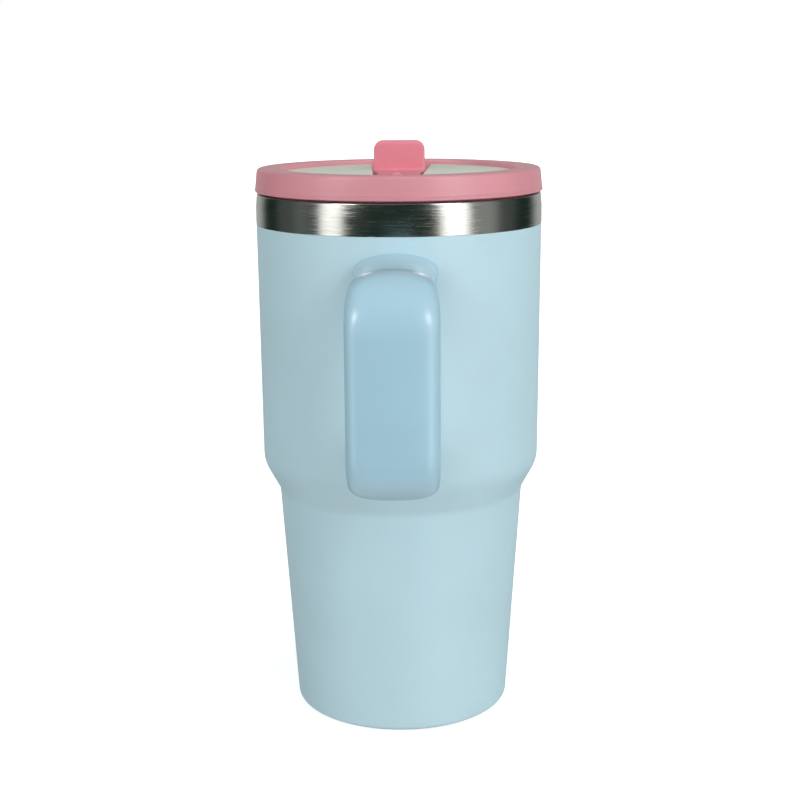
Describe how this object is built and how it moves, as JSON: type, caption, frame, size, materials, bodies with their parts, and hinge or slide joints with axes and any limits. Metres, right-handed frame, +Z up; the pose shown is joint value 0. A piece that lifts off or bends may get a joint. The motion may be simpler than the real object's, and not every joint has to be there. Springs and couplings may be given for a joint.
{
  "type": "insulated tumbler with lid",
  "caption": "Double-wall steel tumbler with a stepped taper, a side handle, and a press-in round lid whose flip lever uncovers a drink hole.",
  "frame": {"origin": "centre of the flat underside of the base pad, on the cup's axis", "axes": "+Z up along the cup's axis; the handle points along -Y; +X to the right with the handle towards the viewer"},
  "size_m": [0.0974, 0.1467, 0.1978],
  "materials": {
    "blue_coat": "pale blue powder coat, satin with a fine texture",
    "brushed_steel": "stainless steel brushed round the cup",
    "copper_foil": "thin bright copper foil",
    "getter_alloy": "dull sintered metal and braze",
    "base_rubber": "matte grey-blue silicone",
    "blue_plastic": "pale blue moulded plastic, satin to semi-gloss",
    "zinc_screw": "bright plated screw",
    "pink_plastic": "dusty pink moulded plastic, satin",
    "pale_insert": "pale grey-green translucent plastic",
    "clear_silicone": "translucent silicone"
  },
  "bodies": {
    "cup": {"outer_wall": "blue_coat", "inner_liner": "brushed_steel", "foil_wrap": "copper_foil", "base_plate": "brushed_steel", "vacuum_seal": "getter_alloy", "getter": "getter_alloy", "base_pad": "base_rubber", "handle": "blue_plastic", "upper_bracket": "brushed_steel", "lower_bracket": "brushed_steel", "upper_screw": "zinc_screw", "lower_screw": "zinc_screw"},
    "lid": {"lid_body": "pink_plastic", "left_insert": "pale_insert", "right_insert": "pale_insert", "lid_underside": "pink_plastic", "lid_gasket": "clear_silicone", "hinge_pin": "brushed_steel"},
    "lever": {"flip_lever": "pink_plastic", "drink_stopper": "clear_silicone"}
  },
  "joints": [
    {"name": "lid_lift", "type": "slide", "parent": "cup", "child": "lid", "axis": [0, 0, 1], "range_m": [0, 0.06]},
    {"name": "lever_flip", "type": "hinge", "parent": "lid", "child": "lever", "pos_m": [0, 0.0124, 0.1825], "axis": [-1, 0, 0], "range_deg": [0, 90]}
  ]
}
